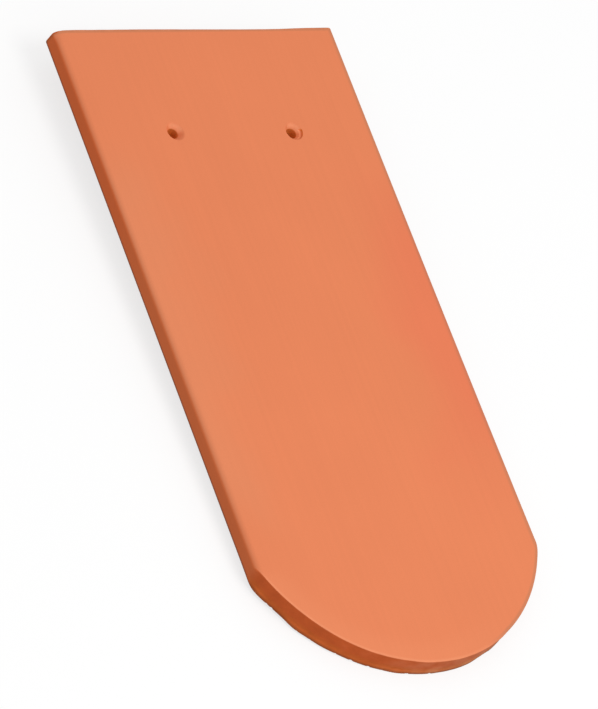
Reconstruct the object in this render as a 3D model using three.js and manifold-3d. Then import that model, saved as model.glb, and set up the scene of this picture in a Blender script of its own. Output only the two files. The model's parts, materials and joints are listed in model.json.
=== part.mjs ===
// Plain clay roof tile with a rounded tail, extruded, cut and fired as one piece.
// Millimetres, +Z up. The tile lies as it rests unheld on a level floor: weather face up,
// head towards +Y, carried by its hanging nib under the head and by the tip of its tail.
// The origin is on the floor, at the middle of the tile's outer box.

import * as THREE from "three";
import { mergeVertices } from "three/addons/utils/BufferGeometryUtils.js";
import Module from "manifold-3d";

// Body
const tileWidth = 180;
const tileLength = 380; // from the head cut to the tip of the tail
const tileThickness = 12.5;
const tailRise = 62.5; // how far the tip of the rounded tail stands out past its corners
const faceArrisRadius = 3.3; // rounding of the two long edges on the weather face
const backArrisRadius = 3; // rounding of the two long edges on the back

// Nail holes, each with a funnel in the weather face
const nailHoleDiameter = 6.1;
const nailHoleSpacing = 76;
const nailHoleToHead = 64.2; // to the middle of the pair
const nailHoleSkew = 1.7; // the left hole is punched this much nearer to the head than the right one
const funnelFlare = 2.5; // the funnel's rim is this much wider than the hole, all round
const funnelDepth = 3;

// Hanging nib on the back, which hooks over the batten
const nibFootWidth = 44;
const nibFlankDraft = 5; // each flank spreads this much from the foot to the root
const nibHeight = 14;
const nibLength = 17;
const nibToHead = 3;

// Fineness of the round shapes, and how far a cutter or a root runs past the surface it crosses
const tailSegments = 48;
const arrisSegments = 8;
const holeSegments = 32;
const cutOverrun = 2;

const clay = new THREE.MeshStandardMaterial({ color: 0xd9764a, roughness: 0.85, metalness: 0 });

const wasm = await Module();
wasm.setup();

// A closed three.js geometry as a solid that can be joined and cut.
function solidFrom(geometry) {
  const bare = geometry.index ? geometry.toNonIndexed() : geometry.clone();
  bare.deleteAttribute("normal");
  bare.deleteAttribute("uv");
  const merged = mergeVertices(bare, 1e-4);
  const vertProperties = new Float32Array(merged.attributes.position.array);
  const triVerts = new Uint32Array(merged.index.array);
  return new wasm.Manifold(new wasm.Mesh({ numProp: 3, vertProperties, triVerts }));
}

// A finished solid as a three.js geometry.
function geometryFrom(solid) {
  const { vertProperties, triVerts } = solid.getMesh();
  const geometry = new THREE.BufferGeometry();
  geometry.setAttribute("position", new THREE.BufferAttribute(vertProperties, 3));
  geometry.setIndex(new THREE.BufferAttribute(triVerts, 1));
  geometry.computeVertexNormals();
  return geometry;
}

// The flat clay strand: its section has rounded long edges, and it runs past the tail cut.
// The weather face is z = 0, the back is z = -tileThickness, and the head cut is y = 0.
function strand() {
  const half = tileWidth / 2;
  const faceRadius = Math.min(faceArrisRadius, tileThickness / 2);
  const backRadius = Math.min(backArrisRadius, tileThickness / 2);
  const section = new THREE.Shape();
  section.moveTo(-half + backRadius, -tileThickness);
  section.lineTo(half - backRadius, -tileThickness);
  section.absarc(half - backRadius, -tileThickness + backRadius, backRadius, -Math.PI / 2, 0);
  section.absarc(half - faceRadius, -faceRadius, faceRadius, 0, Math.PI / 2);
  section.absarc(-half + faceRadius, -faceRadius, faceRadius, Math.PI / 2, Math.PI);
  section.absarc(-half + backRadius, -tileThickness + backRadius, backRadius, Math.PI, Math.PI * 1.5);
  const geometry = new THREE.ExtrudeGeometry(section, {
    depth: tileLength + cutOverrun,
    curveSegments: arrisSegments,
    bevelEnabled: false,
  });
  // The section is drawn in X and Z, and the strand runs from the head towards -Y.
  geometry.rotateX(Math.PI / 2);
  return solidFrom(geometry);
}

// The tail cut, as the plan of what it leaves: one arc from side to side, through the tip.
// It is wider than the strand and runs past the head, so only its arc cuts.
function tailCutter() {
  const half = tileWidth / 2;
  const tailRadius = (half * half + tailRise * tailRise) / (2 * tailRise);
  const arcCentre = -tileLength + tailRadius;
  const arcHalfAngle = 2 * Math.atan2(tailRise, half);
  const cornerY = -tileLength + tailRise;
  const plan = new THREE.Shape();
  plan.moveTo(half + cutOverrun, cutOverrun);
  plan.lineTo(-half - cutOverrun, cutOverrun);
  plan.lineTo(-half - cutOverrun, cornerY);
  plan.absarc(0, arcCentre, tailRadius, -Math.PI / 2 - arcHalfAngle, -Math.PI / 2 + arcHalfAngle);
  plan.lineTo(half + cutOverrun, cornerY);
  const geometry = new THREE.ExtrudeGeometry(plan, {
    depth: tileThickness + 2 * cutOverrun,
    curveSegments: tailSegments,
    bevelEnabled: false,
  });
  geometry.translate(0, 0, -tileThickness - cutOverrun);
  return solidFrom(geometry);
}

// One nail hole: a straight hole through the tile, widening to a funnel at the weather face.
// The side is -1 for the left hole and 1 for the right one.
function nailHoleCutter(side) {
  const holeRadius = nailHoleDiameter / 2;
  const rimRadius = holeRadius + funnelFlare;
  const profile = [
    new THREE.Vector2(0, -tileThickness - cutOverrun),
    new THREE.Vector2(holeRadius, -tileThickness - cutOverrun),
    new THREE.Vector2(holeRadius, -funnelDepth),
    new THREE.Vector2(rimRadius, 0),
    new THREE.Vector2(rimRadius, cutOverrun),
    new THREE.Vector2(0, cutOverrun),
  ];
  const geometry = new THREE.LatheGeometry(profile, holeSegments);
  geometry.rotateX(Math.PI / 2);
  geometry.translate((side * nailHoleSpacing) / 2, -nailHoleToHead - (side * nailHoleSkew) / 2, 0);
  return solidFrom(geometry);
}

// The hanging nib: a tapered rib under the head, whose tail side bears on the batten.
function nib() {
  const root = -tileThickness + cutOverrun;
  const foot = -tileThickness - nibHeight;
  const halfFoot = nibFootWidth / 2;
  const halfRoot = halfFoot + nibFlankDraft;
  const section = new THREE.Shape();
  section.moveTo(-halfFoot, foot);
  section.lineTo(halfFoot, foot);
  section.lineTo(halfRoot, -tileThickness);
  section.lineTo(halfRoot, root);
  section.lineTo(-halfRoot, root);
  section.lineTo(-halfRoot, -tileThickness);
  const geometry = new THREE.ExtrudeGeometry(section, { depth: nibLength, bevelEnabled: false });
  geometry.rotateX(Math.PI / 2);
  geometry.translate(0, -nibToHead, 0);
  return solidFrom(geometry);
}

function tileSolid() {
  let body = strand().intersect(tailCutter()).add(nib());
  for (const side of [-1, 1]) {
    body = body.subtract(nailHoleCutter(side));
  }
  return body;
}

const tile = new THREE.Mesh(geometryFrom(tileSolid()), clay);
tile.name = "roof_tile";

// At rest the foot of the nib's bearing face and the tip of the tail touch the floor.
const supportSpan = tileLength - nibToHead - nibLength;
tile.rotation.x = Math.atan2(nibHeight, supportSpan);

const resting = new THREE.Box3().setFromObject(tile, true);
const middle = resting.getCenter(new THREE.Vector3());
tile.position.set(-middle.x, -middle.y, -resting.min.z);

const part = new THREE.Group();
part.add(tile);

export default part;
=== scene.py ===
"""The looks of a fired clay roof tile.

The tile is one extruded, cut and punched piece, and lies face up on a pale floor.
"""

import json
import math
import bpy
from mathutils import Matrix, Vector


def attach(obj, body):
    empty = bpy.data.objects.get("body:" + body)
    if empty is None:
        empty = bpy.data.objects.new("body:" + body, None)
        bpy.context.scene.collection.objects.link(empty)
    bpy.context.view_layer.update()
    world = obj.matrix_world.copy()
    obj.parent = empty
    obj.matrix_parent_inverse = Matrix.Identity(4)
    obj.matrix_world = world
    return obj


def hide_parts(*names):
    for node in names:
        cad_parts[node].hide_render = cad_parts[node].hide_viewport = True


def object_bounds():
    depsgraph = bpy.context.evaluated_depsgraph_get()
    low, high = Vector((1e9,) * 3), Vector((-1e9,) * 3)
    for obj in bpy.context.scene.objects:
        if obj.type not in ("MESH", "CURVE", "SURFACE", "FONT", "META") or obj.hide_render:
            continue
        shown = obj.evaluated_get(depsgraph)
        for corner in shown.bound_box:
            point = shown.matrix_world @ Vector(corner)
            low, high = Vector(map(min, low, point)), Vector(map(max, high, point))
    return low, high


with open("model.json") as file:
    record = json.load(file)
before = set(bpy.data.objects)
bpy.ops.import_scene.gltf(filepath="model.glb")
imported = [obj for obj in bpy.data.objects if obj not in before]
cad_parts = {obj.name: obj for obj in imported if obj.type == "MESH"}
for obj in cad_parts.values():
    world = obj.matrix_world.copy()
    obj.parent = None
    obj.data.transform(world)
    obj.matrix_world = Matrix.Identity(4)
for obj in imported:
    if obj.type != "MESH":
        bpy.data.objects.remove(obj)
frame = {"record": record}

from types import SimpleNamespace

import bpy
from mathutils import Matrix, Vector

MM = 0.001

cad_low, cad_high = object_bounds()
mounts = {mount["name"]: mount for mount in frame["record"]["mounts"]}


# ---------------------------------------------------------------- how the tile lies

def laid_tile():
    """Length, thickness, lean and place of the tile as the frame lays it on the floor."""
    up = Vector(mounts["weather_face"]["axis"])
    face = Vector(mounts["weather_face"]["pos_m"])
    back = Vector(mounts["back_face"]["pos_m"])
    thickness = (face - back).dot(up)
    lean = math.atan2(-up.y, up.z)
    reach = cad_high.y - cad_low.y
    length = (reach - thickness * math.sin(lean)) / math.cos(lean)
    # The head's face edge is the highest line of the tile.
    head_y = cad_high.y - thickness * math.sin(lean)
    place = Vector((0.0, head_y, cad_high.z))
    return length, thickness, lean, place


TILE_LENGTH, TILE_THICKNESS, LEAN, HEAD_PLACE = laid_tile()
HAIR = 0.005 * MM
# The tile lies a hair up, so that its uneven back stays off the floor's own plane.
LAID = Matrix.Translation(HEAD_PLACE + Vector((0.0, 0.0, HAIR))) @ Matrix.Rotation(LEAN, 4, "X")


# ---------------------------------------------------------------- the tile's sizes, in metres

# The inputs of the tile's rule, which makes the tile flat: x to the right, y to the head and z up, with
# the middle of the head's face edge at the origin.
SHAPE_SIZES = {
    "Width": cad_high.x - cad_low.x,
    "Length": TILE_LENGTH,
    "Thickness": TILE_THICKNESS,
    "Tail Rise": 62.5 * MM,        # how far the tip of the tail stands out past its corners
    "Face Arris": 3.0 * MM,        # rounding of the long edges on the weather face
    "Back Arris": 3.0 * MM,        # and on the back

    "Head Edge": 0.6 * MM,         # wear of the edges that the head cut leaves
    "Tail Edge": 0.3 * MM,         # and of those that the tail cut leaves
    "Wear Patches": 9.0 * MM,      # that wear comes in patches of this size
    "Corner Wear": 1.0 * MM,       # what is gone from the face at the head's left corner
    "Corner Across": 6.0 * MM,     # and how far that reaches across the tile
    "Corner Along": 8.0 * MM,      # and along it

    "Side Hollow": 0.5 * MM,       # how far the right long side bows in at its middle
    "Head Dip": 0.6 * MM,          # a shallow dip in the head cut, right of the middle
    "Head Dip At": 45.0 * MM,      # how far right of the middle it is deepest
    "Head Dip Left": 90.0 * MM,    # how far the dip reaches to its left
    "Head Dip Right": 32.0 * MM,   # and to its right
    "Face Swell": 0.12 * MM,       # low waves in the extruded faces
    "Swell Length": 90.0 * MM,     # from one wave to the next, about
    "Left Droop": 0.35 * MM,       # how far the face sinks towards the left side
    "Droop Reach": 11.0 * MM,      # and how far in from that side it does

    "Tail Shift": 0.4 * MM,        # how far the tail's arc sits left of the middle line
    "Tail Flat": 0.42 * MM,        # how far the cutter strayed inwards on the left of the tail
    "Tail Bulge": 0.32 * MM,       # and outwards on the right of it
    "Tail Burr": 0.3 * MM,         # clay that the cutter dragged out along the foot of the tail cut
    "Burr Height": 3.5 * MM,       # how far up from the back that reaches
    "Burr Depth": 4.0 * MM,        # and how far in from the cut
    "Lobe Size": 8.0 * MM,         # from one lobe of the burr to the next, about

    "Nail Hole": 6.1 * MM,
    "Hole Spacing": 76.0 * MM,
    "Hole To Head": 64.2 * MM,
    "Hole Skew": 1.7 * MM,         # the left hole is punched this much nearer to the head
    "Hole Drift": 0.5 * MM,        # and both sit this much left of the middle line
    "Hole Stray": 0.2 * MM,        # unevenness of their walls
    "Stray Size": 5.0 * MM,        # and the size of its humps
    "Funnel Flare": 2.5 * MM,      # how much wider all round each hole's mouth is
    "Funnel Depth": 3.0 * MM,
    "Funnel Back": 0.35 * MM,      # how far a funnel's mouth sits from its hole, towards the tail
    "Rim Step": 1.5 * MM,          # depth of a crisp step in the rim of the right funnel
    "Burst": 0.4 * MM,             # how much wider the punch broke each hole where it came out of the back
    "Burst Depth": 1.5 * MM,

    "Nib Foot": 44.0 * MM,         # its width across the tile, at the foot
    "Nib Draft": 5.0 * MM,         # how much further it reaches on either side at its root
    "Nib Height": 14.0 * MM,
    "Nib Length": 17.0 * MM,
    "Nib Root": 2.0 * MM,          # how far its bar runs on into the tile
    "Nib To Head": 3.0 * MM,
    "Nib Rounding": 2.0 * MM,      # of its upright edges and its foot
    "Nib Fillet": 2.5 * MM,        # the sweep from the nib's flanks into the back

    "Seed": 7,
}


# ---------------------------------------------------------------- formulas in node trees

class Field:
    """A number in a node tree. Its sums and products are Math nodes, so a rule reads as a formula."""

    def __init__(self, tree, socket):
        self.tree = tree
        self.socket = socket

    def math(self, operation, *others):
        made = self.tree.nodes.new("ShaderNodeMath")
        made.operation = operation
        for socket, value in zip(made.inputs, (self, *others)):
            plug(self.tree, value, socket)
        return Field(self.tree, made.outputs[0])

    def __add__(self, other):
        return self.math("ADD", other)

    def __sub__(self, other):
        return self.math("SUBTRACT", other)

    def __rsub__(self, other):
        return (self * -1.0).math("ADD", other)

    def __mul__(self, other):
        return self.math("MULTIPLY", other)

    def __truediv__(self, other):
        return self.math("DIVIDE", other)

    def __rtruediv__(self, other):
        return self.math("POWER", -1.0) * other

    def __gt__(self, other):
        return self.math("GREATER_THAN", other)

    def __lt__(self, other):
        return self.math("LESS_THAN", other)

    def __neg__(self):
        return self * -1.0

    def __abs__(self):
        return self.math("ABSOLUTE")

    __radd__ = __add__
    __rmul__ = __mul__


def plug(tree, value, socket):
    """Puts a field, a socket or a plain value into a socket."""
    if isinstance(value, Field):
        tree.links.new(value.socket, socket)
    elif isinstance(value, bpy.types.NodeSocket):
        tree.links.new(value, socket)
    else:
        socket.default_value = value


def node(tree, kind, inputs=None, **settings):
    """A new node with its settings, and its inputs given by name or index."""
    made = tree.nodes.new(kind)
    for name, value in settings.items():
        setattr(made, name, value)
    for name, value in (inputs or {}).items():
        plug(tree, value, made.inputs[name])
    return made


def hypot(a, b):
    return (a * a + b * b).math("SQRT")


def most(a, b):
    return a.math("MAXIMUM", b)


def least(a, b):
    return a.math("MINIMUM", b)


def sign(value):
    return value.math("SIGN")


def round_rise(share):
    """Climbs from 0 to 1 along a quarter circle: slowly at first, then ever more steeply."""
    return 1.0 - (1.0 - share * share).math("SQRT")


def arch(share):
    """A shallow arch along a length: 0 at both ends and 1 in the middle."""
    return share * (1.0 - share) * 4.0


def ramp(value, start, end):
    """0 at start, 1 at end and smooth between."""
    made = node(value.tree, "ShaderNodeMapRange", {
        "Value": value, "From Min": start, "From Max": end}, interpolation_type="SMOOTHSTEP")
    return Field(value.tree, made.outputs["Result"])


def parts_of(tree, vector):
    made = node(tree, "ShaderNodeSeparateXYZ", {0: vector})
    return [Field(tree, socket) for socket in made.outputs]


def point(tree, x, y, z):
    return node(tree, "ShaderNodeCombineXYZ", {"X": x, "Y": y, "Z": z}).outputs[0]


def unevenness(tree, place, size, seed, detail=2.0):
    """Noise from about -1 to 1 with humps of the given size."""
    made = node(tree, "ShaderNodeTexNoise", {
        "Vector": place, "W": seed, "Scale": 1.0 / size, "Detail": detail}, noise_dimensions="4D")
    return Field(tree, made.outputs[0]) * 2.0 - 1.0


def crowded(share, strength):
    """Moves points that run evenly from -1 to 1 closer together towards both ends."""
    return share * (1.0 - strength) + (share * (math.pi / 2)).math("SINE") * strength


def rounded_pair(p, q, half_p, half_q, radius):
    """Rounds the long corners of a bar in the plane of p and q: squares round a corner become circles."""
    over_p = most(abs(p) - half_p + radius, 0.0)
    over_q = most(abs(q) - half_q + radius, 0.0)
    loss = 1.0 - most(over_p, over_q) / hypot(over_p, over_q)
    return p - sign(p) * over_p * loss, q - sign(q) * over_q * loss


# ---------------------------------------------------------------- helpers for meshes

def position(tree):
    """The place of each point as the mesh stands, as a vector."""
    return node(tree, "GeometryNodeInputPosition").outputs[0]


def place_of(tree):
    """The same place as x, y and z."""
    return parts_of(tree, position(tree))


def upright_of(tree):
    """How far the surface faces up: 1 straight up, 0 on a wall and -1 straight down."""
    return parts_of(tree, node(tree, "GeometryNodeInputNormal").outputs[0])[2]


def bar_of_points(tree, across, along, up):
    """A box from -1 to 1 each way, with this many points across, along and up."""
    made = node(tree, "GeometryNodeMeshCube", {
        "Size": (2.0, 2.0, 2.0), "Vertices X": across, "Vertices Y": along, "Vertices Z": up})
    return made.outputs["Mesh"]


def placed(tree, geometry, place):
    return node(tree, "GeometryNodeSetPosition", {"Geometry": geometry, "Position": place}).outputs[0]


def shifted(tree, geometry, offset):
    return node(tree, "GeometryNodeSetPosition", {"Geometry": geometry, "Offset": offset}).outputs[0]


def realized(tree, geometry):
    return node(tree, "GeometryNodeRealizeInstances", {"Geometry": geometry}).outputs[0]


def joined(tree, *solids):
    made = node(tree, "GeometryNodeMeshBoolean", operation="UNION", solver="EXACT")
    for solid in solids:
        tree.links.new(solid, made.inputs[1])
    return made.outputs[0]


def cut_away(tree, solid, *cutters):
    made = node(tree, "GeometryNodeMeshBoolean", {0: solid}, operation="DIFFERENCE", solver="EXACT")
    for cutter in cutters:
        tree.links.new(cutter, made.inputs[1])
    return made.outputs[0]


def stored(tree, geometry, name, value):
    made = node(tree, "GeometryNodeStoreNamedAttribute", {
        "Geometry": geometry, "Name": name, "Value": value}, data_type="FLOAT", domain="POINT")
    return made.outputs[0]


# ---------------------------------------------------------------- the extruded slab

SLAB_POINTS = (121, 201, 23)       # across, along and through
CROWDING_ACROSS = 0.9              # how far those points crowd towards the edges
CROWDING_ALONG = 0.93
CROWDING_THROUGH = 0.6
WEAR_SWING = 0.4                   # how unevenly the cut edges are worn
LOBE_SWING = 0.6                   # and how unevenly the clay was dragged along the tail
DIP_FADE = 0.2                     # share of the length over which the head's dip dies away
BURR_SALT = 5                      # added to the seed, so that this unevenness is its own

# Where across the tile the cutter strayed. Each pair is where that begins and where it is full.
FLAT_LEFT_END = (-84 * MM, -68 * MM)
FLAT_RIGHT_END = (-8 * MM, -20 * MM)
BULGE_LEFT_END = (-4 * MM, 20 * MM)
BULGE_RIGHT_END = (48 * MM, 42 * MM)

# Lobes and gaps in the burr, in mm: place across the tile, reach to each side, and how far it stands out.
BURR_LOBES = (
    (-87, 6, 0.45), (-79, 7, -0.6), (-71, 6, 0.55), (-62, 10, 0.35), (-36, 12, 0.15), (-21, 11, 0.45),
    (-1, 7, 0.12), (23, 10, 0.15), (35, 9, -0.3), (48, 10, 0.35), (66, 9, 0.3), (82, 8, 0.5))


def tail_radius(given):
    half = given["Width"] * 0.5
    return (half * half + given["Tail Rise"] * given["Tail Rise"]) / (given["Tail Rise"] * 2.0)


def cutter_stray(given, x):
    """How far the tail cut strays out of its true arc at this x."""
    flat = given["Tail Flat"] * ramp(x, *FLAT_LEFT_END) * ramp(x, *FLAT_RIGHT_END)
    bulge = given["Tail Bulge"] * ramp(x, *BULGE_LEFT_END) * ramp(x, *BULGE_RIGHT_END)
    return bulge - flat


def rounded_section(given, across, through):
    """A spot on the section: x across, q up from the middle of the thickness, and which way is out.

    The functions below then move the same spot on, one after the other.
    """
    half = given["Width"] * 0.5
    half_thick = given["Thickness"] * 0.5
    x = crowded(across, CROWDING_ACROSS) * half
    q = crowded(through, CROWDING_THROUGH) * half_thick
    arris = given["Back Arris"] + (given["Face Arris"] - given["Back Arris"]) * (through > 0.0)
    over_x = most(abs(x) - half + arris, 0.0)
    over_q = most(abs(q) - half_thick + arris, 0.0)
    spot = SimpleNamespace()
    spot.skin_depth = arris - most(over_x, over_q)
    spot.outward_x = sign(x) * over_x / hypot(over_x, over_q)
    spot.outward_q = sign(q) * over_q / hypot(over_x, over_q)
    spot.x, spot.q = rounded_pair(x, q, half, half_thick, arris)
    return spot


def cut_to_length(given, spot, along):
    """Spreads the spots from the head cut to the tail's arc, and tells how far each is from both."""
    radius = tail_radius(given)
    spot.off_axis = spot.x + given["Tail Shift"]
    spot.arc_drop = most(radius * radius - spot.off_axis * spot.off_axis, 0.0).math("SQRT")
    stray = cutter_stray(given, spot.x) * radius / spot.arc_drop
    spot.length = given["Length"] - radius + spot.arc_drop + stray
    spot.share = (1.0 - crowded(along, CROWDING_ALONG)) * 0.5
    spot.y = -(spot.share * spot.length)
    spot.at_tail = spot.share > 0.5
    spot.from_head = spot.share * spot.length
    spot.from_tail = (1.0 - spot.share) * spot.length * spot.arc_drop / radius


def edge_wear(tree, given, spot):
    """How far the worn edges of both cuts pull in from the skin, and how far back from the cut."""
    wear = given["Head Edge"] + (given["Tail Edge"] - given["Head Edge"]) * spot.at_tail
    here = point(tree, spot.x, spot.y, spot.q)
    wear = wear * (1.0 + WEAR_SWING * unevenness(tree, here, given["Wear Patches"], given["Seed"]))
    over_skin = most(wear - spot.skin_depth, 0.0)
    over_cut = most(wear - least(spot.from_head, spot.from_tail), 0.0)
    loss = 1.0 - most(over_skin, over_cut) / hypot(over_skin, over_cut)
    return over_skin * loss, over_cut * loss


def tail_burr(tree, given, spot):
    """How far the clay stands out that the cutter dragged along the foot of the tail cut."""
    foot = point(tree, spot.x, -spot.length, 0.0)
    swing = unevenness(tree, foot, given["Lobe Size"], given["Seed"] + BURR_SALT)
    lobes = given["Tail Burr"] * (1.0 + LOBE_SWING * swing)
    for place, reach, size in BURR_LOBES:
        lobes = lobes + size * MM * ramp(abs(spot.x - place * MM), reach * MM, 0.0)
    half_thick = given["Thickness"] * 0.5
    low = ramp(spot.q, given["Burr Height"] - half_thick, -half_thick)
    return lobes * low * ramp(spot.from_tail, given["Burr Depth"], 0.0) * spot.at_tail


def wear_and_drag(tree, given, spot):
    """Wears the edges of both cuts, and drags the burr out of the tail's foot."""
    half = given["Width"] * 0.5
    radius = tail_radius(given)
    pull_in, pull_back = edge_wear(tree, given, spot)
    burr = tail_burr(tree, given, spot)
    # On the rounded long edges the burr hangs back and doesn't widen the tile.
    sideways = burr * (1.0 - abs(spot.outward_x)) - pull_back
    endways = burr - pull_back
    x = spot.x - spot.outward_x * pull_in + spot.at_tail * sideways * spot.off_axis / radius
    spot.x = most(least(x, half), -half)
    spot.q = spot.q - spot.outward_q * pull_in
    at_head = 1.0 - spot.at_tail
    spot.y = spot.y - spot.at_tail * endways * spot.arc_drop / radius - at_head * pull_back


def sink_face(given, spot):
    """Lets the face droop towards the left side, and wears it down at the head's left corner."""
    from_left = spot.x + given["Width"] * 0.5
    upper = ramp(spot.q, 0.0, given["Thickness"] * 0.5)
    droop = given["Left Droop"] * ramp(from_left, given["Droop Reach"], 0.0) * upper
    corner = ramp(from_left, given["Corner Across"], 0.0)
    corner = corner * ramp(spot.from_head, given["Corner Along"], 0.0)
    spot.q = spot.q - droop - given["Corner Wear"] * corner * upper


def bow_and_swell(tree, given, spot):
    """Bows the right side in, dips the head cut and swells the faces, and gives the finished place."""
    middle = arch(spot.share)
    x = spot.x - given["Side Hollow"] * middle * most(spot.x / (given["Width"] * 0.5), 0.0)
    from_dip = x - given["Head Dip At"]
    dip = ramp(from_dip, -given["Head Dip Left"], 0.0) * ramp(from_dip, given["Head Dip Right"], 0.0)
    y = spot.y - given["Head Dip"] * dip * ramp(spot.share, DIP_FADE, 0.0)
    swell = unevenness(tree, point(tree, x, y, 0.0), given["Swell Length"], given["Seed"], 1.0)
    z = spot.q - given["Thickness"] * 0.5 - given["Face Swell"] * middle * (0.5 + 0.5 * swell)
    return point(tree, x, y, z)


def extruded_slab(tree, given):
    """The strand with rounded long edges, cut square at the head and in an arc at the tail."""
    across, along, through = place_of(tree)
    spot = rounded_section(given, across, through)
    cut_to_length(given, spot, along)
    wear_and_drag(tree, given, spot)
    sink_face(given, spot)
    # As the tile lies, the tail and its burr end a hair inside the tile's length.
    below_face = spot.q - given["Thickness"] * 0.5
    spot.y = most(spot.y, below_face * math.tan(LEAN) - given["Length"] + HAIR)
    return placed(tree, bar_of_points(tree, *SLAB_POINTS), bow_and_swell(tree, given, spot))


# ---------------------------------------------------------------- the hanging nib

NIB_POINTS = (57, 25, 25)
NIB_CROWDING = 0.6
SHARP = 0.01 * MM                  # the rounding of an edge that stays sharp
SWEEP_ALONG = 0.3                  # share of the sweep on the nib's front and back
END_WAVES = (0.25 * MM, 14 * MM)   # height and length of the unevenness of its two ends
FRONT_WAVES = (0.2 * MM, 9 * MM)   # and of its front and back
FRONT_SALT = 3


def hanging_nib(tree, given):
    """A tapered rib on the back, with soft foot edges and a sweep into the back."""
    across, along, up = place_of(tree)
    half_foot = given["Nib Foot"] * 0.5
    half_length = given["Nib Length"] * 0.5
    half_height = (given["Nib Height"] + given["Nib Root"]) * 0.5
    x = crowded(across, NIB_CROWDING) * half_foot
    y = crowded(along, NIB_CROWDING) * half_length
    q = crowded(up, NIB_CROWDING) * half_height
    # Only the foot's edges are rounded, because the root lies inside the tile.
    rounding = given["Nib Rounding"] * (up < 0.0) + SHARP
    x, q = rounded_pair(x, q, half_foot, half_height, rounding)
    y, q = rounded_pair(y, q, half_length, half_height, rounding)
    x, y = rounded_pair(x, y, half_foot, half_length, given["Nib Rounding"])

    rise = q + half_height
    spread = given["Nib Draft"] * rise / given["Nib Height"]
    into_fillet = most(given["Nib Fillet"] - (given["Nib Height"] - rise), 0.0)
    sweep = given["Nib Fillet"] * round_rise(least(into_fillet / given["Nib Fillet"], 1.0))
    x = x + (x / half_foot) * (spread + sweep)
    y = y + (y / half_length) * sweep * SWEEP_ALONG - given["Nib To Head"] - half_length
    z = rise - given["Thickness"] - given["Nib Height"]
    smooth = point(tree, x, y, z)
    x = x + END_WAVES[0] * unevenness(tree, smooth, END_WAVES[1], given["Seed"])
    y = y + FRONT_WAVES[0] * unevenness(tree, smooth, FRONT_WAVES[1], given["Seed"] + FRONT_SALT)
    return placed(tree, bar_of_points(tree, *NIB_POINTS), point(tree, x, y, z))


# ---------------------------------------------------------------- the nail holes

PIN_SIDES = 64
PIN_RINGS = 48
RING_CROWDING = 1.6                # draws the punch's rings together towards the mouth
PIN_OVERRUN = 0.8 * MM             # how far the punch reaches past the face and the back
MOUTH_LIFT = 3.0                   # how steeply it widens where it stands above the face
CONE_SHARE = 0.75                  # of the funnel; the rest is a rounding into the face
FUNNEL_STRETCH = 1.1               # a funnel flares this many times as much along the tile
STEP_TOWARDS = (0.9, -0.44)        # the crisp step lies on the right, a little towards the tail
STEP_SPREAD = (0.70, 0.88)         # how well a place faces that way where it begins and where it is full
STRAY_SALTS = (11, 12)


def off_nail_hole(tree, given):
    """How far a point is from the nearer hole, to the right and to the head, and that hole's side."""
    x, y = place_of(tree)[:2]
    side = sign(x + given["Hole Drift"])
    right = x + given["Hole Drift"] - side * given["Hole Spacing"] * 0.5
    ahead = y + given["Hole To Head"] + side * given["Hole Skew"] * 0.5
    return right, ahead, side


def facing(right, ahead, towards):
    """How well a place beside a hole lies this way from it: 1 dead on, 0 square to it."""
    return (right * towards[0] + ahead * towards[1]) / hypot(right, ahead)


def rim_step(tree, given):
    """How far to push the right punch out to its rim, so that it leaves a small crisp step there."""
    right, ahead, side = off_nail_hole(tree, given)
    z = place_of(tree)[2]
    reach = hypot(right, ahead)
    rim = given["Nail Hole"] * 0.5 + given["Funnel Flare"]
    on_step = ramp(facing(right, ahead, STEP_TOWARDS), *STEP_SPREAD) * (side > 0.0)
    on_step = on_step * (z > -given["Rim Step"])
    push = most(rim - reach, 0.0) * on_step / reach
    return point(tree, right * push, ahead * push, 0.0)


def nail_punch(tree, given):
    """A punch that leaves a straight hole with a soft, rounded funnel."""
    pin = node(tree, "GeometryNodeMeshCylinder", {
        "Vertices": PIN_SIDES, "Side Segments": PIN_RINGS, "Radius": 1.0, "Depth": 2.0}, fill_type="NGON")
    across, along, up = place_of(tree)
    reach = given["Thickness"] + 2 * PIN_OVERRUN
    depth = ((1.0 - up) * 0.5).math("POWER", RING_CROWDING) * reach - PIN_OVERRUN
    # The funnel is a cone with a crisp inner edge, and it runs into the face without one.
    rise = least(most(1.0 - depth / given["Funnel Depth"], 0.0), 1.0)
    funnel = given["Funnel Flare"] * (CONE_SHARE * rise + (1.0 - CONE_SHARE) * round_rise(rise))
    lift = most(-depth, 0.0) * MOUTH_LIFT
    burst = given["Burst"] * ramp(depth, given["Thickness"] - given["Burst Depth"], given["Thickness"])
    radius = given["Nail Hole"] * 0.5 + lift + burst
    # The punch leaned, so each funnel sits a little behind its hole.
    behind = funnel / given["Funnel Flare"] * given["Funnel Back"]
    x = across * (radius + funnel)
    y = along * (radius + funnel * FUNNEL_STRETCH) - behind
    return placed(tree, pin.outputs["Mesh"], point(tree, x, y, -depth))


def nail_punches(tree, given):
    """The two punches in their places, a little uneven, and the right one with its step."""
    left = given["Hole Spacing"] * -0.5 - given["Hole Drift"]
    row = given["Hole Skew"] * 0.5 - given["Hole To Head"]
    ends = node(tree, "GeometryNodeMeshLine", {
        "Count": 2, "Start Location": point(tree, left, row, 0.0),
        "Offset": point(tree, given["Hole Spacing"], -given["Hole Skew"], 0.0)})
    pair = node(tree, "GeometryNodeInstanceOnPoints", {
        "Points": ends.outputs[0], "Instance": nail_punch(tree, given)})
    stepped = shifted(tree, realized(tree, pair.outputs[0]), rim_step(tree, given))
    here = position(tree)
    stray = [given["Hole Stray"] * unevenness(tree, here, given["Stray Size"], given["Seed"] + salt)
             for salt in STRAY_SALTS]
    return shifted(tree, stepped, point(tree, *stray, 0.0))


# ---------------------------------------------------------------- nicks in the tail cut

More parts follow.
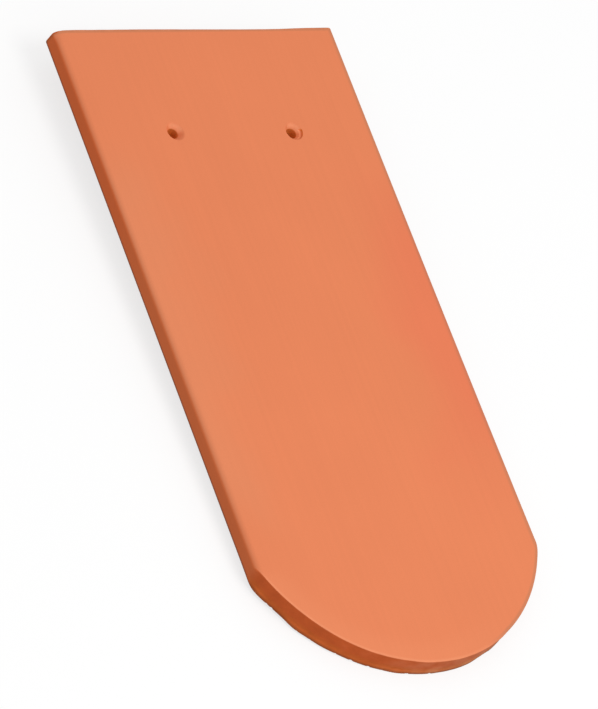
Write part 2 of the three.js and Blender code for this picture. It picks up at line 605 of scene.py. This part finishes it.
CHIP_COUNT = 34
CHIP_SIZE = 1.0 * MM
CHIP_FINENESS = 3                  # of the ball that each chip starts from
CHIP_JAG = 0.25 * MM
CHIP_JAG_SIZE = 0.9 * MM
CHIP_JAG_SALTS = (20, 21, 22)

# What differs from chip to chip, and between which values.
CHIP_SPANS = {
    "place": (-0.5, 0.5),              # how far it strays from its place in the row, in steps
    "outside": (0.05 * MM, 0.5 * MM),  # how far its middle lies outside the tail's arc
    "below": (0.0, 0.45 * MM),         # and below the back
    "across": (0.5, 1.8),              # its stretch each way
    "along": (0.5, 1.3),
    "up": (0.4, 1.0),
}


def chip_chances(tree, given):
    """A chance number in each span for every chip, the same in every run."""
    chances = {}
    for salt, (name, (low, high)) in enumerate(CHIP_SPANS.items(), 1):
        made = node(tree, "FunctionNodeRandomValue", {
            2: low, 3: high, "Seed": given["Seed"] + salt}, data_type="FLOAT")
        chances[name] = Field(tree, made.outputs[1])
    return chances


def tail_chips(tree, given):
    """Small nicks along the lower edge of the tail cut."""
    chance = chip_chances(tree, given)
    radius = tail_radius(given)
    row = node(tree, "GeometryNodeMeshLine", {"Count": CHIP_COUNT, "Offset": (0.0, 0.0, 0.0)})
    number = Field(tree, node(tree, "GeometryNodeInputIndex").outputs[0])
    reach = (given["Tail Rise"] / (given["Width"] * 0.5)).math("ARCTANGENT") * 2.0
    turn = ((number + chance["place"]) / (CHIP_COUNT - 1.0) - 0.5) * 2.0 * reach
    out = radius + chance["outside"]
    x = turn.math("SINE") * out - given["Tail Shift"]
    y = radius - given["Length"] - turn.math("COSINE") * out
    z = -given["Thickness"] - chance["below"]
    spots = placed(tree, row.outputs[0], point(tree, x, y, z))
    ball = node(tree, "GeometryNodeMeshIcoSphere", {"Radius": CHIP_SIZE, "Subdivisions": CHIP_FINENESS})
    stretch = point(tree, chance["across"], chance["along"], chance["up"])
    chips = node(tree, "GeometryNodeInstanceOnPoints", {
        "Points": spots, "Instance": ball.outputs[0], "Scale": stretch})
    here = position(tree)
    jag = [CHIP_JAG * unevenness(tree, here, CHIP_JAG_SIZE, given["Seed"] + salt)
           for salt in CHIP_JAG_SALTS]
    return shifted(tree, realized(tree, chips.outputs[0]), point(tree, *jag))


# ---------------------------------------------------------------- marks that the clay's colours follow

# Every pair here is where a mark begins to show and where it is full.

def past_tail_corners(given, y):
    """How far a point lies past the tail's corners, towards its tip."""
    return -y - given["Length"] + given["Tail Rise"]


def from_tail_arc(given, x, y):
    """How far a point in plan lies inside the tail cut."""
    radius = tail_radius(given)
    return radius - hypot(x + given["Tail Shift"], y + given["Length"] - radius) + cutter_stray(given, x)


CUT_SKIN = (0.9 * MM, 0.27 * MM)   # distance from the cut's true face
CORNER_FADE = (-1 * MM, 6 * MM)    # distance past the tail's corners
LIP_DEPTH = 1.0 * MM               # how far down from the face the painted highlight on the tail's lip reaches
LIP_SPAN = (2.2 * MM, 0.6 * MM)    # and how far in from the cut
LIP_SHINE = 0.38
FAINT_HIGHLIGHT_SPAN = (16 * MM, 4 * MM)     # a faint painted highlight runs a little further in
FAINT_HIGHLIGHT_SHINE = 0.09
LIP_FROM_CORNER = (0.0, 12 * MM)   # both fade towards the tail's corners
LIP_FROM_RIGHT = (60 * MM, 5 * MM)     # and on the right half of the tail


def cut_faces(tree, given):
    """1 on the head and tail cuts and 0 on the extruded skin, and a painted highlight along the tail's
    face edge.
    """
    x, y, z = place_of(tree)
    from_arc = from_tail_arc(given, x, y)
    past_corner = past_tail_corners(given, y)
    tail = ramp(from_arc, *CUT_SKIN) * ramp(past_corner, *CORNER_FADE)
    head = ramp(-y - given["Head Dip"], *CUT_SKIN)
    on_face = (z > -LIP_DEPTH) * ramp(past_corner, *LIP_FROM_CORNER) * ramp(x, *LIP_FROM_RIGHT)
    # Painted highlight along the tail's face edge, and a faint one a little further in.
    lip = LIP_SHINE * ramp(from_arc, *LIP_SPAN) * on_face
    pale_bloom_and_highlight = FAINT_HIGHLIGHT_SHINE * ramp(from_arc, *FAINT_HIGHLIGHT_SPAN) * on_face
    return most(tail, head), most(lip, pale_bloom_and_highlight)


FACE_SKIN = 0.05 * MM              # what lies less deep than this is the face and isn't punched
PUNCHED_SPAN = (1.4 * MM, 0.8 * MM)    # distance outside the funnel's rim
FUNNEL_HIGHLIGHT_SPAN = (0.3 * MM, -1.3 * MM)   # the same, where a highlight is painted on the funnel's wall
FUNNEL_HIGHLIGHT_BELOW = 0.5 * MM           # how much deeper than the funnel that goes
FUNNEL_HIGHLIGHT_TOWARDS = (0.5, 0.866)     # the highlight lies on the head's side of each funnel, and a little to the right
FUNNEL_HIGHLIGHT_SPREAD = (0.2, 0.8)        # how well a place faces that way


def punched_faces(tree, given):
    """1 in the nail holes and their funnels, and a painted highlight on the head's side of each funnel."""
    right, ahead = off_nail_hole(tree, given)[:2]
    z = place_of(tree)[2]
    rim = given["Nail Hole"] * 0.5 + given["Funnel Flare"]
    punched = ramp(hypot(right, ahead) - rim, *PUNCHED_SPAN) * (-z > FACE_SKIN)
    off_mouth = hypot(right, ahead + given["Funnel Back"]) - rim
    # Painted highlight on the head's side of each funnel.
    lit_wall = ramp(off_mouth, *FUNNEL_HIGHLIGHT_SPAN) * (z > -given["Funnel Depth"] - FUNNEL_HIGHLIGHT_BELOW)
    shine = punched * lit_wall * ramp(facing(right, ahead, FUNNEL_HIGHLIGHT_TOWARDS), *FUNNEL_HIGHLIGHT_SPREAD)
    return punched, shine


WALL_TOP = (-0.8 * MM, -1.6 * MM)  # height of the cuts' walls, from the face
WALL_FOOT = 0.3 * MM               # and from the back
BROAD_SPAN = (0.15, 0.72)          # how straight up or down the surface looks


def broad_faces(tree, given, opened):
    """1 where the surface faces straight up or down from the tile, 0 on every wall and its burr."""
    z = place_of(tree)[2]
    on_wall = ramp(z, *WALL_TOP) * (z + given["Thickness"] > WALL_FOOT)
    return ramp(abs(upright_of(tree)), *BROAD_SPAN) * (1.0 - opened * on_wall)


SIDE_REACH = 4 * MM                # how far in from the long sides their lower edges can lie
EDGE_TURNS = (-0.05, 0.3)          # how far down the rounding looks where it turns under
BACK_TURNS = (0.98, 0.8)           # and where it runs out into the flat back
FOOT_TOP = (2.4 * MM, 0.9 * MM)    # height of the foot of the cuts, from the back
FOOT_BOTTOM = (-0.5 * MM, 0.0)
FOOT_SHARE = 0.6                   # how strongly that foot is marked


def under_edges(tree, given, opened):
    """1 along the back's rounded edges, less along the foot of the cuts, and 0 on the flat back: where
    shade is painted.
    """
    down = -upright_of(tree)
    x, _, z = place_of(tree)
    at_side = abs(x) - given["Width"] * 0.5 + SIDE_REACH > 0.0
    rounded = ramp(down, *EDGE_TURNS) * ramp(down, *BACK_TURNS) * at_side
    height = z + given["Thickness"]
    return most(rounded, FOOT_SHARE * opened * ramp(height, *FOOT_TOP) * ramp(height, *FOOT_BOTTOM))


CUT_RIM_SPAN = (2.2 * MM, 1.2 * MM)    # distance from the head's cut and the tail's
SIDE_RIM_SPAN = (4.2 * MM, 2.6 * MM)   # and from the right side
RIGHT_OF_TAIL = (30 * MM, 50 * MM)     # distance right of the middle
FACE_TURNS = (0.1, 0.3)            # how far up the rim looks on the side and the tail
HEAD_TURNS = (-0.3, -0.1)          # and on the head, where it runs down over the worn edge


def face_rims(tree, given):
    """1 along the head's, the right side's and the tail's right edge of the weather face, where shade is
    painted.
    """
    x, y = place_of(tree)[:2]
    upright = upright_of(tree)
    head = ramp(-y - given["Head Dip"] * 0.5, *CUT_RIM_SPAN) * ramp(upright, *HEAD_TURNS)
    bowed = given["Side Hollow"] * arch(-y / given["Length"])
    side = ramp(given["Width"] * 0.5 - bowed - x, *SIDE_RIM_SPAN)
    tail = ramp(from_tail_arc(given, x, y), *CUT_RIM_SPAN) * ramp(x, *RIGHT_OF_TAIL)
    tail = tail * (past_tail_corners(given, y) > 0.0)
    return most(head, most(side, tail) * ramp(upright, *FACE_TURNS))


# ---------------------------------------------------------------- the tile's rule

SMOOTH_UP_TO = math.radians(32)    # sharper edges than this stay crisp


def marked_clay(tree, given, tile):
    """Stores the marks on the mesh, for the clay's material to read."""
    opened, lip_shine = cut_faces(tree, given)
    punched, funnel_highlight = punched_faces(tree, given)
    marks = {
        "cut_face": opened,
        "punched": punched,
        "painted_highlight": most(lip_shine, funnel_highlight),
        "broad_face": broad_faces(tree, given, opened),
        "under_edge": under_edges(tree, given, opened),
        "face_rim": face_rims(tree, given),
    }
    for name, share in marks.items():
        tile = stored(tree, tile, name, share)
    return tile


def tile_rule(material):
    """The node tree that makes the whole tile from its sizes."""
    tree = bpy.data.node_groups.new("clay_roof_tile", "GeometryNodeTree")
    tree.interface.new_socket("Geometry", in_out="OUTPUT", socket_type="NodeSocketGeometry")
    for name, value in SHAPE_SIZES.items():
        kind = "NodeSocketInt" if isinstance(value, int) else "NodeSocketFloat"
        tree.interface.new_socket(name, in_out="INPUT", socket_type=kind)
    entry = node(tree, "NodeGroupInput")
    given = {name: Field(tree, entry.outputs[name]) for name in SHAPE_SIZES}
    with_nib = joined(tree, extruded_slab(tree, given), hanging_nib(tree, given))
    cut = cut_away(tree, with_nib, nail_punches(tree, given), tail_chips(tree, given))
    marked = marked_clay(tree, given, cut)
    angle = Field(tree, node(tree, "GeometryNodeInputMeshEdgeAngle").outputs["Unsigned Angle"])
    soft = node(tree, "GeometryNodeSetShadeSmooth", {
        "Geometry": marked, "Shade Smooth": angle < SMOOTH_UP_TO}, domain="EDGE")
    dressed = node(tree, "GeometryNodeSetMaterial", {
        "Geometry": realized(tree, soft.outputs[0]), "Material": material})
    leave = node(tree, "NodeGroupOutput")
    tree.links.new(dressed.outputs[0], leave.inputs[0])
    return tree


def made_by_rule(name, tree, sizes):
    """Runs a node tree once and keeps the plain mesh that it makes."""
    carrier = bpy.data.objects.new(name + "_carrier", bpy.data.meshes.new(name + "_carrier"))
    bpy.context.scene.collection.objects.link(carrier)
    modifier = carrier.modifiers.new("rule", "NODES")
    modifier.node_group = tree
    sockets = {item.name: item.identifier for item in tree.interface.items_tree if item.in_out == "INPUT"}
    for size_name, value in sizes.items():
        modifier[sockets[size_name]] = value
    evaluated = carrier.evaluated_get(bpy.context.evaluated_depsgraph_get())
    mesh = bpy.data.meshes.new_from_object(evaluated)
    carrier.modifiers.remove(modifier)
    bpy.data.objects.remove(carrier)
    mesh.name = name
    piece = bpy.data.objects.new(name, mesh)
    bpy.context.scene.collection.objects.link(piece)
    return piece


# ---------------------------------------------------------------- the fired clay

SHEENED_FACE_CLAY = (0.801, 0.239, 0.108)          # the smooth extruded faces, with a painted pale sheen
SHADED_SIDE_CLAY = (0.830, 0.194, 0.066)          # the long sides and all that turns away from the faces: a deeper copy of the face clay, painted shade
HEAD_SIDE_CLAY = (0.845, 0.177, 0.055)     # and the long sides near the head, where they are redder
CUT_CLAY = (0.755, 0.142, 0.037)           # where the cutter opened the body
SHEEN_CUT_CLAY = (0.700, 0.235, 0.118)       # and paler on the right: a painted sheen on the cut
CUT_FOOT_TINT = (1.00, 1.12, 1.00)         # the foot of the cuts is a little lighter
HOLE_CLAY = (0.775, 0.240, 0.057)          # inside the nail holes, near their mouths
LIT_DEEP_HOLE_CLAY = (0.900, 0.295, 0.054)          # and further down, lighter: painted light, as if light came in through the hole from the back
HIGHLIGHT_CLAY = (0.950, 0.372, 0.192)      # a painted highlight: paler clay on the tail's lip and in the funnels
EDGE_SHADE = (0.34, 0.52, 0.78)            # painted shade on the rounded edges of the back, which turn down to the floor
RIM_SHADE = (0.80, 0.93, 1.00)             # and, much less, painted shade along the rim of the weather face
FIRE_FLUSH = (1.00, 0.89, 0.94)            # a redder flush where the right side faced the fire
PALE_BLOOM = (0.98, 1.05, 1.09)            # and a paler bloom down the left side

# Where the tints begin and where they are full.
HEAD_SIDE_SPAN = (-150 * MM, -90 * MM)     # along the tile, where the head's edge is 0
DEEP_SPAN = (-3.5 * MM, -7.5 * MM)         # height, where the face is 0
CUT_FOOT_SPAN = (-6 * MM, -9 * MM)
SHEEN_CUT_SPAN = (-50 * MM, 65 * MM)        # across the tile, where its middle is 0
FLUSH_ACROSS = (35 * MM, 85 * MM)
FLUSH_FROM_HEAD = (-70 * MM, -150 * MM)    # along the tile again
FLUSH_FROM_TAIL = (-310 * MM, -240 * MM)
BLOOM_ACROSS = (-50 * MM, -85 * MM)
BLOOM_FROM_HEAD = (-60 * MM, -110 * MM)
BLOOM_FROM_TAIL = (-320 * MM, -270 * MM)
MOTTLE_SWAY = 80 * MM                      # how far the mottling shifts the edges of most tints
PATCH_SWAY = 90 * MM                       # and how far the patches shift the edge of the cut's painted sheen

# The clay's noises: humps to the metre, finer layers, and how crisp those layers are.
MOTTLE = (14.0, 3.0, 0.5)
PATCHES = (130.0, 2.0, 0.5)
GRAIN = (1500.0, 3.0, 0.6)
DRAG = (1.0, 2.0, 0.5)
DRAG_STRETCH = (420.0, 5.0, 420.0)         # makes them long lines, which the die drew along the strand

# How much each of them lightens and darkens the clay, changes its roughness and raises it.
MOTTLE_SHADE = 0.08
GRAIN_SHADE = 0.10
DRAG_SHADE = 0.05
PATCH_SHADE = 0.35
MOTTLE_ROUGHNESS = 0.10
GRAIN_ROUGHNESS = 0.16
GRAIN_HEIGHT = 0.05 * MM
DRAG_HEIGHT = 0.03 * MM
PATCH_HEIGHT = 0.5 * MM

CLAY_SHINE = 0.04
CLAY_ROUGHNESS = 0.78
CUT_ROUGHER = 0.08                         # how much rougher the opened clay is


def mixed(tree, share, first, second, blend="MIX"):
    """The first colour where the share is 0 and, in a plain mix, the second where it is 1."""
    made = node(tree, "ShaderNodeMix", data_type="RGBA", blend_type=blend)
    plug(tree, share, made.inputs["Factor"])
    # The node has sockets for numbers and vectors too. Its colours are inputs 6 and 7 and output 2.
    for value, socket in ((first, made.inputs[6]), (second, made.inputs[7])):
        plug(tree, value if not isinstance(value, tuple) else (*value, 1.0), socket)
    return made.outputs[2]


def tinted(tree, share, colour, tint):
    """The colour multiplied by the tint where the share is 1."""
    return mixed(tree, share, colour, tint, "MULTIPLY")


def clay_noise(tree, place, kind):
    """One of the clay's noises, from about -0.5 to 0.5."""
    scale, layers, crispness = kind
    made = node(tree, "ShaderNodeTexNoise", {
        "Vector": place, "Scale": scale, "Detail": layers, "Roughness": crispness})
    return Field(tree, made.outputs[0]) - 0.5


def mark(tree, name):
    """A mark that the rule stored on the mesh."""
    return Field(tree, node(tree, "ShaderNodeAttribute", attribute_name=name).outputs["Fac"])


def tile_place(tree):
    """Places on the tile as its rule made it, before it was laid on the floor."""
    own = node(tree, "ShaderNodeTexCoord").outputs["Object"]
    turned = node(tree, "ShaderNodeMapping", {
        "Vector": own, "Location": HEAD_PLACE, "Rotation": (LEAN, 0.0, 0.0)}, vector_type="TEXTURE")
    return turned.outputs[0]


def clay_noises(tree, tile):
    """The unevenness of the clay, from its broad mottling to its grain."""
    lengthwise = node(tree, "ShaderNodeMapping", {"Vector": tile, "Scale": DRAG_STRETCH}).outputs[0]
    return SimpleNamespace(
        mottle=clay_noise(tree, tile, MOTTLE),
        patches=clay_noise(tree, tile, PATCHES),
        grain=clay_noise(tree, tile, GRAIN),
        drag=clay_noise(tree, lengthwise, DRAG))


def body_colour(tree, tile, noises):
    """The clay of the faces, the sides, the cuts and the nail holes."""
    across, along, up = parts_of(tree, tile)
    broad = mark(tree, "broad_face")
    on_edge = 1.0 - broad
    sway = noises.mottle * MOTTLE_SWAY
    sides = mixed(tree, ramp(along + sway, *HEAD_SIDE_SPAN), SHADED_SIDE_CLAY, HEAD_SIDE_CLAY)
    # Painted light: the holes' clay grows lighter further down, as if lit through the hole from the back.
    holes = mixed(tree, ramp(up, *DEEP_SPAN), HOLE_CLAY, LIT_DEEP_HOLE_CLAY)
    walls = mixed(tree, mark(tree, "punched"), sides, holes)
    # Painted light: faces that look up or down take the face clay with its painted sheen, the walls the
    # deeper clay that paints their shade.
    colour = mixed(tree, broad, walls, SHEENED_FACE_CLAY)
    # Painted sheen: the opened clay turns paler towards the right of the tail.
    sheen_share = ramp(across + noises.patches * PATCH_SWAY, *SHEEN_CUT_SPAN)
    opened = mixed(tree, sheen_share, CUT_CLAY, SHEEN_CUT_CLAY)
    opened = tinted(tree, ramp(up, *CUT_FOOT_SPAN), opened, CUT_FOOT_TINT)
    colour = mixed(tree, mark(tree, "cut_face") * on_edge, colour, opened)
    # Painted shade along the back's rounded edges and the foot of the cuts, where they turn towards the
    # floor.
    colour = tinted(tree, mark(tree, "under_edge") * on_edge, colour, EDGE_SHADE)
    # Painted highlight on the tail's lip and on the funnels' walls.
    colour = mixed(tree, mark(tree, "painted_highlight") * broad, colour, HIGHLIGHT_CLAY)
    # Painted shade along the rim of the weather face, where it turns away.
    return tinted(tree, mark(tree, "face_rim"), colour, RIM_SHADE)


def fired_tints(tree, tile, noises, colour):
    """The redder flush on the right and the paler bloom on the left."""
    across, along, _ = parts_of(tree, tile)
    sway = noises.mottle * MOTTLE_SWAY
    flush = ramp(across + sway, *FLUSH_ACROSS) * ramp(along, *FLUSH_FROM_HEAD)
    flush = flush * ramp(along + sway, *FLUSH_FROM_TAIL)
    colour = tinted(tree, flush, colour, FIRE_FLUSH)
    pale_bloom_and_highlight = ramp(across + sway, *BLOOM_ACROSS) * ramp(along, *BLOOM_FROM_HEAD)
    pale_bloom_and_highlight = pale_bloom_and_highlight * ramp(along + sway, *BLOOM_FROM_TAIL) * mark(tree, "broad_face")
    return tinted(tree, pale_bloom_and_highlight, colour, PALE_BLOOM)


def mottled(tree, noises, colour):
    """The colour with its mottling, grain and drag lines, and with patches on the opened clay."""
    shade = 1.0 + noises.mottle * MOTTLE_SHADE + noises.grain * GRAIN_SHADE + noises.drag * DRAG_SHADE
    shade = shade + noises.patches * PATCH_SHADE * mark(tree, "cut_face")
    grey = node(tree, "ShaderNodeCombineColor", {0: shade, 1: shade, 2: shade}).outputs[0]
    return tinted(tree, 1.0, colour, grey)


def clay_material():
    material = bpy.data.materials.new("fired_clay")
    material.use_nodes = True
    tree = material.node_tree
    surface = tree.nodes["Principled BSDF"]
    surface.inputs["Specular IOR Level"].default_value = CLAY_SHINE
    tile = tile_place(tree)
    noises = clay_noises(tree, tile)
    colour = fired_tints(tree, tile, noises, body_colour(tree, tile, noises))
    plug(tree, mottled(tree, noises, colour), surface.inputs["Base Color"])

    cut = mark(tree, "cut_face")
    uneven = noises.mottle * MOTTLE_ROUGHNESS + noises.grain * GRAIN_ROUGHNESS
    plug(tree, CLAY_ROUGHNESS + uneven + cut * CUT_ROUGHER, surface.inputs["Roughness"])
    height = noises.grain * GRAIN_HEIGHT + noises.drag * DRAG_HEIGHT + noises.patches * cut * PATCH_HEIGHT
    bump = node(tree, "ShaderNodeBump", {"Height": height, "Distance": 1.0, "Strength": 1.0})
    plug(tree, bump.outputs[0], surface.inputs["Normal"])
    return material


# ---------------------------------------------------------------- the floor

FLOOR_REACH = 6.0
FLOOR_ROUGHNESS = 0.9
FLOOR_GREY = (0.4, 0.4, 0.4)               # its colour for the light that it throws back on the tile
WHITE = (1.0, 1.0, 1.0)                    # and as it is seen
FLOOR_GLOW = 0.74                          # how much of what is seen is the backdrop's own white


def looked_at(tree):
    """1 for what the camera sees directly, in a mirror or through glass, and 0 for light on the object."""
    path = node(tree, "ShaderNodeLightPath")
    direct = Field(tree, path.outputs["Is Camera Ray"])
    mirrored = Field(tree, path.outputs["Is Glossy Ray"])
    through_glass = Field(tree, path.outputs["Is Transmission Ray"])
    return most(most(direct, mirrored), through_glass)


def floor_material():
    material = bpy.data.materials.new("pale_floor")
    material.use_nodes = True
    tree = material.node_tree
    surface = tree.nodes["Principled BSDF"]
    surface.inputs["Roughness"].default_value = FLOOR_ROUGHNESS
    surface.inputs["Specular IOR Level"].default_value = 0.0
    seen = looked_at(tree)
    plug(tree, mixed(tree, seen, FLOOR_GREY, WHITE), surface.inputs["Base Color"])
    # The backdrop's own white lightens the shadow that is seen, and none of it falls on the tile.
    white = node(tree, "ShaderNodeEmission", {"Color": (*WHITE, 1.0), "Strength": 1.0})
    both = node(tree, "ShaderNodeMixShader", {
        0: seen * FLOOR_GLOW, 1: surface.outputs[0], 2: white.outputs[0]})
    out = tree.nodes["Material Output"]
    tree.links.new(both.outputs[0], out.inputs["Surface"])
    return material


def pale_floor():
    mesh = bpy.data.meshes.new("floor")
    low, high = -FLOOR_REACH, FLOOR_REACH
    corners = [(low, low, 0.0), (high, low, 0.0), (high, high, 0.0), (low, high, 0.0)]
    mesh.from_pydata(corners, [], [(0, 1, 2, 3)])
    mesh.materials.append(floor_material())
    floor = bpy.data.objects.new("floor", mesh)
    bpy.context.scene.collection.objects.link(floor)


# ---------------------------------------------------------------- light and camera

LAMP_FROM = Vector((0.15, -0.37, 0.915)).normalized()
LAMP_DISTANCE = 1.7
LAMP_WIDTH = 0.9
LAMP_SHARE = 0.38                          # its light on the tile, where 1 shows a colour as it is written
SKY_SHARE = 0.67                           # and the light from all round


def surroundings():
    world = bpy.data.worlds.new("studio")
    bpy.context.scene.world = world
    world.use_nodes = True
    tree = world.node_tree
    tree.nodes.clear()
    strength = SKY_SHARE + looked_at(tree) * (1.0 - SKY_SHARE)
    sky = node(tree, "ShaderNodeBackground", {"Color": (*WHITE, 1.0), "Strength": strength})
    out = node(tree, "ShaderNodeOutputWorld")
    tree.links.new(sky.outputs[0], out.inputs[0])


def overhead_lamp():
    lamp = bpy.data.lights.new("overhead", "AREA")
    lamp.shape = "DISK"
    lamp.size = LAMP_WIDTH
    lamp.energy = LAMP_SHARE * (math.pi * LAMP_DISTANCE) ** 2
    lit = bpy.data.objects.new("overhead", lamp)
    bpy.context.scene.collection.objects.link(lit)
    lit.location = LAMP_FROM * LAMP_DISTANCE
    lit.rotation_mode = "QUATERNION"
    lit.rotation_quaternion = LAMP_FROM.to_track_quat("Z", "Y")


CAMERA_AIM = Vector((-15.0, -10.4, 19.5)) * MM     # the place on the tile in the middle of the view
CAMERA_FORWARD = Vector((0.59213, 0.41408, -0.69132))
CAMERA_UP = Vector((0.04486, 0.83962, 0.54133))
CAMERA_DISTANCE = 2.6495
CAMERA_LENS = 262.10
CAMERA_SENSOR = 36.0
CAMERA_NEAR = 0.1
CAMERA_FAR = 50.0


def camera():
    data = bpy.data.cameras.new("camera")
    data.lens = CAMERA_LENS
    data.sensor_width = CAMERA_SENSOR
    data.clip_start = CAMERA_NEAR
    data.clip_end = CAMERA_FAR
    seer = bpy.data.objects.new("camera", data)
    bpy.context.scene.collection.objects.link(seer)
    forward = CAMERA_FORWARD.normalized()
    right = forward.cross(CAMERA_UP).normalized()
    up = right.cross(forward)
    turn = Matrix((right, up, -forward)).transposed()
    seer.matrix_world = Matrix.Translation(CAMERA_AIM - forward * CAMERA_DISTANCE) @ turn.to_4x4()
    bpy.context.scene.camera = seer


# ---------------------------------------------------------------- the scene

def roof_tile():
    tile = made_by_rule("clay_tile", tile_rule(clay_material()), SHAPE_SIZES)
    tile.data.transform(LAID)
    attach(tile, "root")
    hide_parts("roof_tile")


camera()
roof_tile()
pale_floor()
surroundings()
overhead_lamp()
bpy.context.scene.view_settings.view_transform = "Standard"
